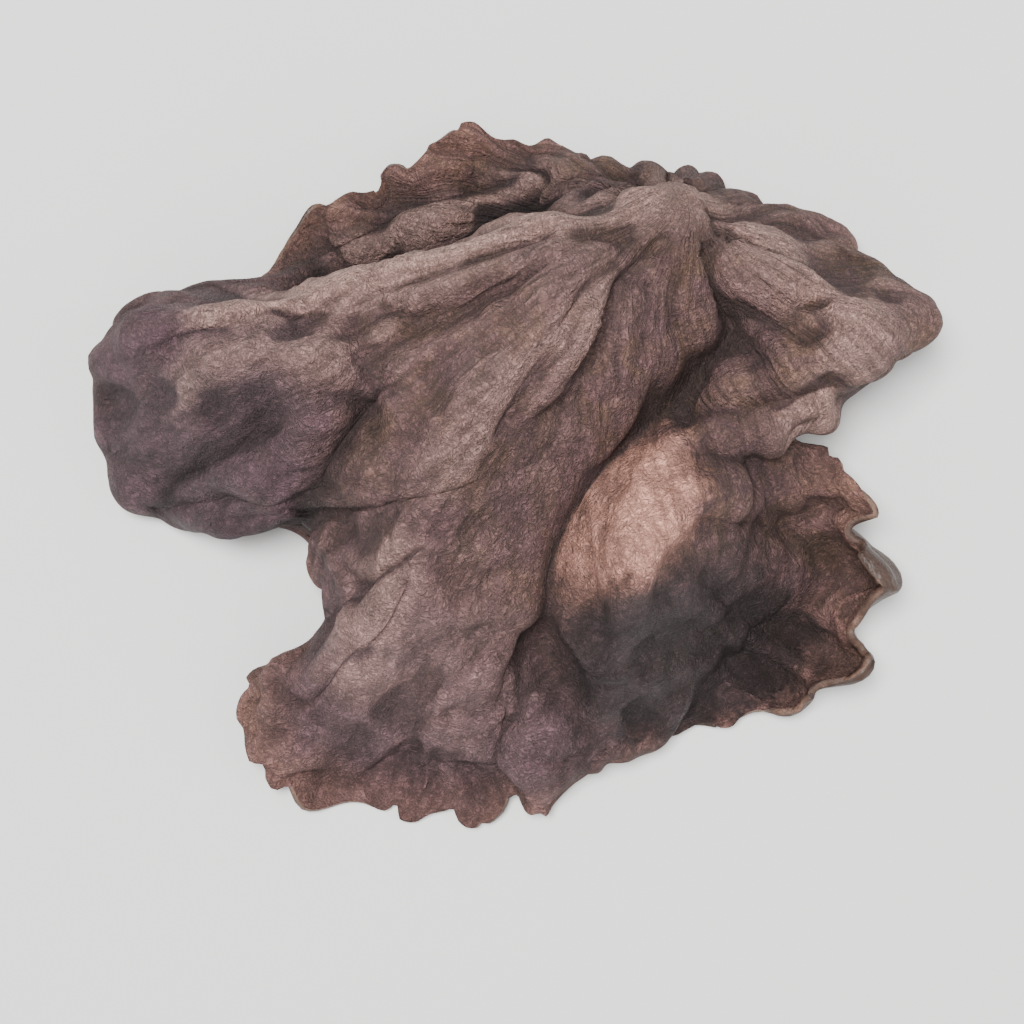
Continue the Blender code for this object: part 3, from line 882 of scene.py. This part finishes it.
def mixColour(tree, factor, a, b, blend="MIX"):
    made = tree.nodes.new("ShaderNodeMix")
    made.data_type = "RGBA"
    made.blend_type = blend
    sockets = (made.inputs["Factor"], made.inputs[6], made.inputs[7])
    for socket, value in zip(sockets, (factor, a, b)):
        if isinstance(value, (int, float)):
            socket.default_value = value
        elif isinstance(value, tuple):
            socket.default_value = (*value, 1.0)
        else:
            tree.links.new(value, socket)
    return made.outputs[2]


def attribute(tree, name):
    made = tree.nodes.new("ShaderNodeAttribute")
    made.attribute_name = name
    return made


def millimetres(tree):
    place = tree.nodes.new("ShaderNodeTexCoord")
    scaled = tree.nodes.new("ShaderNodeMapping")
    scaled.inputs["Scale"].default_value = (1000.0, 1000.0, 1000.0)
    tree.links.new(place.outputs["Object"], scaled.inputs["Vector"])
    return scaled.outputs["Vector"]


def makeFanGroup():  # fine wrinkles and streaks that run out from the foot
    tree, came, gone = newGroup(
        "wrinklesFromFoot",
        [("Fineness", "NodeSocketFloat", 1.0)],
        [("Height", "NodeSocketFloat"), ("Streaks", "NodeSocketFloat")],
    )
    fan = attribute(tree, "fan").outputs["Vector"]
    scaled = tree.nodes.new("ShaderNodeVectorMath")
    scaled.operation = "SCALE"
    plug(tree, fan, scaled.inputs[0])
    plug(tree, came.outputs["Fineness"], scaled.inputs["Scale"])
    ripples = addNode(tree, "ShaderNodeTexNoise", Scale=1.9, Detail=4.0, Roughness=0.55, Distortion=0.35)
    plug(tree, scaled.outputs[0], ripples.inputs["Vector"])
    ridges = calc(tree, "ABSOLUTE", calc(tree, "SUBTRACT", ripples.outputs["Fac"], 0.5))
    height = calc(tree, "SUBTRACT", 1.0, calc(tree, "MULTIPLY", ridges, 5.0), clamp=True)
    streaks = addNode(tree, "ShaderNodeTexNoise", Scale=4.2, Detail=4.0, Roughness=0.6, Distortion=0.2)
    plug(tree, scaled.outputs[0], streaks.inputs["Vector"])
    plug(tree, height, gone.inputs["Height"])
    plug(tree, streaks.outputs["Fac"], gone.inputs["Streaks"])
    return tree


def makeLeatherGroup():  # small puckers of the dried skin, and the nap of the felt
    tree, came, gone = newGroup(
        "driedSkin",
        [("Vector", "NodeSocketVector", None)],
        [(name, "NodeSocketFloat") for name in ("Puckers", "Grain", "Nap", "Blotches", "Patches")],
    )
    bend = addNode(tree, "ShaderNodeTexNoise", Scale=0.8, Detail=3.0, Roughness=0.5)
    plug(tree, came.outputs["Vector"], bend.inputs["Vector"])
    moved = tree.nodes.new("ShaderNodeVectorMath")
    moved.operation = "MULTIPLY_ADD"
    plug(tree, bend.outputs["Color"], moved.inputs[0])
    moved.inputs[1].default_value = (1.1, 1.1, 1.1)
    plug(tree, came.outputs["Vector"], moved.inputs[2])
    cells = addNode(tree, "ShaderNodeTexVoronoi", feature="SMOOTH_F1", Scale=1.25, Smoothness=0.7, Randomness=1.0)
    plug(tree, moved.outputs[0], cells.inputs["Vector"])
    wrinkles = addNode(tree, "ShaderNodeTexNoise", Scale=1.5, Detail=4.0, Roughness=0.6, Distortion=0.6)
    plug(tree, moved.outputs[0], wrinkles.inputs["Vector"])
    folded = calc(tree, "ABSOLUTE", calc(tree, "SUBTRACT", wrinkles.outputs["Fac"], 0.5))
    sharp = calc(tree, "SUBTRACT", 1.0, calc(tree, "MULTIPLY", folded, 4.0), clamp=True)
    puckers = calc(tree, "ADD", calc(tree, "MULTIPLY", sharp, 0.6), calc(tree, "MULTIPLY", cells.outputs["Distance"], 0.4))
    grain = addNode(tree, "ShaderNodeTexNoise", Scale=2.3, Detail=3.0, Roughness=0.62, Distortion=0.9)
    plug(tree, moved.outputs[0], grain.inputs["Vector"])
    pits = calc(tree, "ABSOLUTE", calc(tree, "SUBTRACT", grain.outputs["Fac"], 0.5))
    plug(tree, calc(tree, "MULTIPLY", pits, 4.5, clamp=True), gone.inputs["Grain"])
    nap = addNode(tree, "ShaderNodeTexNoise", Scale=9.0, Detail=3.0, Roughness=0.75, Distortion=0.3)
    plug(tree, came.outputs["Vector"], nap.inputs["Vector"])
    blotches = addNode(tree, "ShaderNodeTexNoise", Scale=0.28, Detail=4.0, Roughness=0.6, Distortion=0.5)
    plug(tree, came.outputs["Vector"], blotches.inputs["Vector"])
    plug(tree, puckers, gone.inputs["Puckers"])
    plug(tree, nap.outputs["Fac"], gone.inputs["Nap"])
    plug(tree, blotches.outputs["Fac"], gone.inputs["Blotches"])
    patches = addNode(tree, "ShaderNodeTexNoise", Scale=0.5, Detail=5.0, Roughness=0.66, Distortion=0.8)
    aside = addNode(tree, "ShaderNodeVectorMath", operation="ADD")
    plug(tree, came.outputs["Vector"], aside.inputs[0])
    aside.inputs[1].default_value = (31.0, 17.0, 5.0)
    plug(tree, aside.outputs[0], patches.inputs["Vector"])
    plug(tree, patches.outputs["Fac"], gone.inputs["Patches"])
    return tree


feltColours = {
    "taupe": (0.089, 0.0455, 0.0430),
    "mauve": (0.082, 0.0450, 0.0540),
    "olive": (0.114, 0.0640, 0.0385),
    # pale: the felt's paler tone, also used for painted light
    "pale": (0.180, 0.1010, 0.0970),
    "tan": (0.56, 0.270, 0.205),
    # dark: the dark lobe's own colour, also used for painted shade
    "dark": (0.0205, 0.0128, 0.0160),
    # crest: the ridges' paler colour together with a painted highlight
    "crest": (0.32, 0.192, 0.162),
    # valley: the colour of the painted shade along the creases
    "valley": (0.0140, 0.0088, 0.0100),
}


def mottled(tree, amount, patches, strength, softness=0.38):  # breaks up the soft border of a tint
    uneven = calc(tree, "MULTIPLY", calc(tree, "SUBTRACT", patches, 0.5), strength)
    return spread(tree, calc(tree, "ADD", amount, uneven), 0.5 - softness, 0.5 + softness)


def makeFelt(fanGroup, skinGroup):
    material = bpy.data.materials.new("felted outer face")
    material.use_nodes = True
    tree = material.node_tree
    shader = tree.nodes["Principled BSDF"]
    place = millimetres(tree)
    fan = addNode(tree, "ShaderNodeGroup", node_tree=fanGroup)
    skin = addNode(tree, "ShaderNodeGroup", node_tree=skinGroup)
    plug(tree, place, skin.inputs["Vector"])
    values = {name: attribute(tree, name).outputs["Fac"] for name in (
        "mauve", "pale", "tan", "dark", "paintedShade", "fineCrest", "crest", "broadCrest", "edge", "paleCrestsAndHighlights", "paintedCreaseShade")}
    blotch = spread(tree, skin.outputs["Blotches"], 0.36, 0.66)
    second = spread(tree, skin.outputs["Patches"], 0.40, 0.66)
    colour = mixColour(tree, calc(tree, "MULTIPLY", second, 0.85), feltColours["taupe"], feltColours["olive"])
    patches = skin.outputs["Patches"]
    mauve = calc(tree, "ADD", mottled(tree, values["mauve"], patches, 1.1), calc(tree, "MULTIPLY", blotch, 0.4), clamp=True)
    colour = mixColour(tree, mauve, colour, feltColours["mauve"])
    # paler felt, partly painted light on the lit middles of the body and the lower lobe
    pale = calc(tree, "MULTIPLY", values["pale"], calc(tree, "ADD", calc(tree, "MULTIPLY", blotch, 0.6), 0.5), clamp=True)
    colour = mixColour(tree, pale, colour, feltColours["pale"])
    tan = calc(tree, "MULTIPLY", mottled(tree, values["tan"], patches, 1.0), spread(tree, blotch, 0.0, 1.0, 0.7, 1.0))
    colour = mixColour(tree, tan, colour, feltColours["tan"])
    colour = mixColour(tree, calc(tree, "MULTIPLY", values["edge"], 0.2), colour, feltColours["tan"])
    # dark: the dark lobe's own colour, and on top of it painted shade on the flap and the lower sides of the lobes
    dark = calc(tree, "MULTIPLY", mottled(tree, values["dark"], patches, 1.6, 0.28), 0.88)
    dark = calc(tree, "MAXIMUM", dark, calc(tree, "MULTIPLY", values["paintedShade"], 0.9))
    colour = mixColour(tree, dark, colour, feltColours["dark"])
    nap = skin.outputs["Nap"]
    # ridges: their paler colour with a painted highlight
    light = calc(tree, "MULTIPLY", values["paleCrestsAndHighlights"], spread(tree, nap, 0.3, 0.6, 0.55, 0.95))
    colour = mixColour(tree, light, colour, feltColours["crest"])
    # painted shade along the creases and the flap's low side
    colour = mixColour(tree, calc(tree, "MULTIPLY", values["paintedCreaseShade"], 0.8), colour, feltColours["valley"])
    # brighter on crests, darker in dips and in the grooves of the fine wrinkles: partly the crests' paler tone,
    # partly painted highlight and painted shade
    raised = calc(tree, "ADD", calc(tree, "MULTIPLY", values["crest"], 0.5), calc(tree, "MULTIPLY", values["fineCrest"], 0.4))
    raised = calc(tree, "ADD", raised, calc(tree, "MULTIPLY", skin.outputs["Puckers"], 0.3))
    shadedDips = calc(tree, "ADD", calc(tree, "MULTIPLY", values["broadCrest"], 0.6), calc(tree, "MULTIPLY", values["crest"], 0.5))
    value = calc(tree, "MULTIPLY", spread(tree, raised, -0.25, 0.95, 0.80, 1.30), spread(tree, shadedDips, -1.6, 0.3, 0.86, 1.03))
    value = calc(tree, "MULTIPLY", value, spread(tree, fan.outputs["Height"], 0.0, 0.7, 0.80, 1.06))
    value = calc(tree, "MULTIPLY", value, spread(tree, skin.outputs["Grain"], 0.0, 0.7, 0.66, 1.16))
    value = calc(tree, "MULTIPLY", value, spread(tree, fan.outputs["Streaks"], 0.32, 0.68, 0.72, 1.3))
    value = calc(tree, "MULTIPLY", value, spread(tree, nap, 0.3, 0.7, 0.74, 1.24))
    shade = addNode(tree, "ShaderNodeVectorMath", operation="SCALE")
    plug(tree, colour, shade.inputs[0])
    plug(tree, value, shade.inputs["Scale"])
    plug(tree, shade.outputs[0], shader.inputs["Base Color"])
    worn = spread(tree, skin.outputs["Blotches"], 0.3, 0.7, 0.66, 0.86)
    plug(tree, calc(tree, "SUBTRACT", worn, calc(tree, "MULTIPLY", dark, 0.22)), shader.inputs["Roughness"])
    shader.inputs["Sheen Weight"].default_value = 0.05
    shader.inputs["Sheen Roughness"].default_value = 0.45
    shader.inputs["Sheen Tint"].default_value = (0.75, 0.62, 0.52, 1.0)
    shader.inputs["Specular IOR Level"].default_value = 0.30
    height = calc(tree, "MULTIPLY", fan.outputs["Height"], 0.35)
    height = calc(tree, "ADD", height, calc(tree, "MULTIPLY", skin.outputs["Puckers"], 0.5))
    height = calc(tree, "ADD", height, calc(tree, "MULTIPLY", skin.outputs["Grain"], 0.22))
    height = calc(tree, "ADD", height, calc(tree, "MULTIPLY", nap, 0.12))
    bump = addNode(tree, "ShaderNodeBump", Strength=1.0, Distance=0.0008)
    plug(tree, height, bump.inputs["Height"])
    plug(tree, bump.outputs["Normal"], shader.inputs["Normal"])
    return material


spawnColours = {
    "deep": (0.012, 0.0075, 0.0065),
    "brown": (0.055, 0.028, 0.018),
    "bloom": (0.12, 0.085, 0.075),
}


def makeSpawnFace(fanGroup, skinGroup):
    material = bpy.data.materials.new("smooth inner face")
    material.use_nodes = True
    tree = material.node_tree
    shader = tree.nodes["Principled BSDF"]
    place = millimetres(tree)
    fan = addNode(tree, "ShaderNodeGroup", node_tree=fanGroup, Fineness=0.7)
    skin = addNode(tree, "ShaderNodeGroup", node_tree=skinGroup)
    plug(tree, place, skin.inputs["Vector"])
    edge = attribute(tree, "edge").outputs["Fac"]
    crestValue = attribute(tree, "crest").outputs["Fac"]
    blotch = spread(tree, skin.outputs["Blotches"], 0.38, 0.68)
    colour = mixColour(tree, blotch, spawnColours["deep"], spawnColours["brown"])
    veins = spread(tree, calc(tree, "ADD", fan.outputs["Height"], calc(tree, "MULTIPLY", crestValue, -0.4)), 0.45, 1.1, 0.0, 0.55)
    colour = mixColour(tree, veins, colour, spawnColours["brown"])
    dusty = spread(tree, skin.outputs["Nap"], 0.52, 0.78, 0.0, 0.35)
    colour = mixColour(tree, dusty, colour, spawnColours["bloom"])
    colour = mixColour(tree, calc(tree, "MULTIPLY", edge, 0.25), colour, spawnColours["brown"])
    plug(tree, colour, shader.inputs["Base Color"])
    plug(tree, spread(tree, skin.outputs["Nap"], 0.3, 0.7, 0.34, 0.56), shader.inputs["Roughness"])
    shader.inputs["Specular IOR Level"].default_value = 0.5
    height = calc(tree, "MULTIPLY", fan.outputs["Height"], 0.5)
    height = calc(tree, "ADD", height, calc(tree, "MULTIPLY", skin.outputs["Puckers"], 0.5))
    height = calc(tree, "ADD", height, calc(tree, "MULTIPLY", skin.outputs["Nap"], 0.04))
    bump = addNode(tree, "ShaderNodeBump", Strength=0.7, Distance=0.00025)
    plug(tree, height, bump.inputs["Height"])
    plug(tree, bump.outputs["Normal"], shader.inputs["Normal"])
    return material


def makeEdge(skinGroup):
    material = bpy.data.materials.new("dry thin edge")
    material.use_nodes = True
    tree = material.node_tree
    shader = tree.nodes["Principled BSDF"]
    skin = addNode(tree, "ShaderNodeGroup", node_tree=skinGroup)
    plug(tree, millimetres(tree), skin.inputs["Vector"])
    colour = mixColour(tree, spread(tree, skin.outputs["Blotches"], 0.35, 0.65), (0.070, 0.038, 0.027), (0.20, 0.112, 0.077))
    colour = mixColour(tree, spread(tree, skin.outputs["Nap"], 0.42, 0.68, 0.0, 0.75), colour, (0.045, 0.024, 0.018))
    plug(tree, colour, shader.inputs["Base Color"])
    plug(tree, spread(tree, skin.outputs["Nap"], 0.3, 0.7, 0.55, 0.75), shader.inputs["Roughness"])
    bump = addNode(tree, "ShaderNodeBump", Strength=0.6, Distance=0.00015)
    plug(tree, skin.outputs["Puckers"], bump.inputs["Height"])
    plug(tree, bump.outputs["Normal"], shader.inputs["Normal"])
    return material


def makeEar():
    mesh, moved = makeGrid(ear["cells"], np.array, ear["foldRadius"], ear["crumple"], ear["footRise"], folds)
    piece = bpy.data.objects.new("dried_ear", mesh)
    bpy.context.scene.collection.objects.link(piece)
    before = fit(moved)
    placeSheet(piece, before)
    print("sheet made")
    settle(piece)
    print("sheet settled on its rim")
    order, flat, ring, creases = refine(piece, before)
    print("wrinkles and ragged edge:", len(piece.data.vertices), "points")
    writeTints(piece, order, flat, ring, creases)
    thicken(piece, order, ring)
    print("points that still touch:", untangle(piece, 3, 1))
    mesh = bpy.data.meshes.new_from_object(piece.evaluated_get(bpy.context.evaluated_depsgraph_get()))
    piece.modifiers.clear()
    piece.vertex_groups.clear()
    piece.data = mesh
    coords = sheetCoords(piece)
    count = order.size
    share = np.stack([np.ones_like(ring), ease((ring - 0.9) / 0.1)])  # the inner face stays smoother
    crown = order[len(order) // 2, len(order) // 2]
    outerLast = coords[crown, 2] < coords[crown + count, 2]
    if outerLast:
        share = share[::-1]
    for k in (0, 1):
        coords[order + k * count] += creases * share[k][..., None]
    low, high = coords.min(0), coords.max(0)
    middle = np.array([(low[0] + high[0]) / 2, (low[1] + high[1]) / 2, 0.0])
    wide = np.append((cadSize[:2] / mm) / (high - low)[:2], 1.0)
    coords = (coords - middle) * wide
    coords[:, 2] = np.maximum(coords[:, 2], 0.0)
    placeSheet(piece, coords)
    makeFaces(piece, count, outerLast)
    mesh.shade_smooth()
    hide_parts("ear")
    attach(piece, "root")
    return piece


# ---- floor, light and camera ----

def makeFloor():
    shape = bmesh.new()
    bmesh.ops.create_grid(shape, x_segments=2, y_segments=2, size=1.5)
    mesh = bpy.data.meshes.new("floor")
    shape.to_mesh(mesh)
    shape.free()
    floor = bpy.data.objects.new("floor", mesh)
    bpy.context.scene.collection.objects.link(floor)
    material = bpy.data.materials.new("pale floor")
    material.use_nodes = True
    shader = material.node_tree.nodes["Principled BSDF"]
    shader.inputs["Base Color"].default_value = (0.74, 0.73, 0.71, 1.0)
    shader.inputs["Roughness"].default_value = 0.7
    mesh.materials.append(material)


lamps = {  # place, size and power of each soft light
    "key": ((-0.05, 0.05, 0.40), 0.13, 3.3),
    "fill": ((0.30, -0.05, 0.26), 0.35, 0.6),
    "front": ((-0.10, -0.30, 0.30), 0.35, 0.5),
}


def makeLights():
    for name, (place, size, power) in lamps.items():
        lamp = bpy.data.lights.new(name, "AREA")
        lamp.size = size
        lamp.energy = power
        holder = bpy.data.objects.new(name, lamp)
        holder.location = place
        holder.rotation_euler = (Vector((0, 0, 0.005)) - Vector(place)).to_track_quat("-Z", "Y").to_euler()
        bpy.context.scene.collection.objects.link(holder)
    world = bpy.data.worlds.new("room")
    world.use_nodes = True
    world.node_tree.nodes["Background"].inputs["Color"].default_value = (0.93, 0.95, 1.0, 1.0)
    world.node_tree.nodes["Background"].inputs["Strength"].default_value = 0.40
    bpy.context.scene.world = world


def makeCamera():
    lens = bpy.data.cameras.new("camera")
    lens.lens = 85
    lens.sensor_width = 36
    lens.clip_start = 0.01
    camera = bpy.data.objects.new("camera", lens)
    camera.location = (0.0, -0.002, 0.142)
    camera.rotation_euler = (0.0, 0.0, 0.0)
    bpy.context.scene.collection.objects.link(camera)
    bpy.context.scene.camera = camera


makeEar()
makeFloor()
makeLights()
makeCamera()
